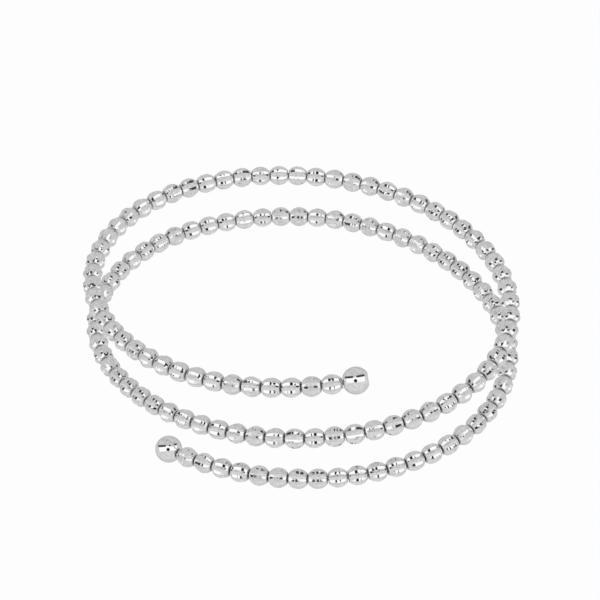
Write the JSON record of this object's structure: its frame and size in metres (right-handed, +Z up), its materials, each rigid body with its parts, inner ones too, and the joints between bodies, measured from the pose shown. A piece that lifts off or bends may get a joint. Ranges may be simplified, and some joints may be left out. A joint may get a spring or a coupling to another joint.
{
  "type": "wrap bracelet",
  "caption": "Springy open-ended coil bracelet: one row of small round diamond-cut silver beads on a hidden wire, in overlapping oval turns, closed by a larger bead-like ball at each end",
  "frame": {"origin": "on the table under the middle of the coil's outline seen from above; the bracelet lies on its side, as it was put down, with its lowest bead and its lower ball touching z = 0", "axes": "+X along the long axis of the oval, so that both ends of the row are on the -Y side and the camera of the picture looks along +Y and down; +Z up, the axis of the coil, through the wrist opening"},
  "size_m": [0.0704, 0.061, 0.0236],
  "materials": {
    "bead_silver": "sterling silver, cut in small bright flats and polished, with a bright white plating",
    "spring_wire": "drawn hard spring steel wire, bare"
  },
  "bodies": {
    "root": {"core_wire": "spring_wire", "beads_01": "bead_silver", "beads_02": "bead_silver", "beads_03": "bead_silver", "beads_04": "bead_silver", "beads_05": "bead_silver", "beads_06": "bead_silver", "beads_07": "bead_silver", "beads_08": "bead_silver", "beads_09": "bead_silver", "beads_10": "bead_silver", "beads_11": "bead_silver", "beads_12": "bead_silver", "beads_13": "bead_silver", "beads_14": "bead_silver", "beads_15": "bead_silver", "lower_end_ball": "bead_silver", "upper_end_ball": "bead_silver"}
  },
  "joints": []
}
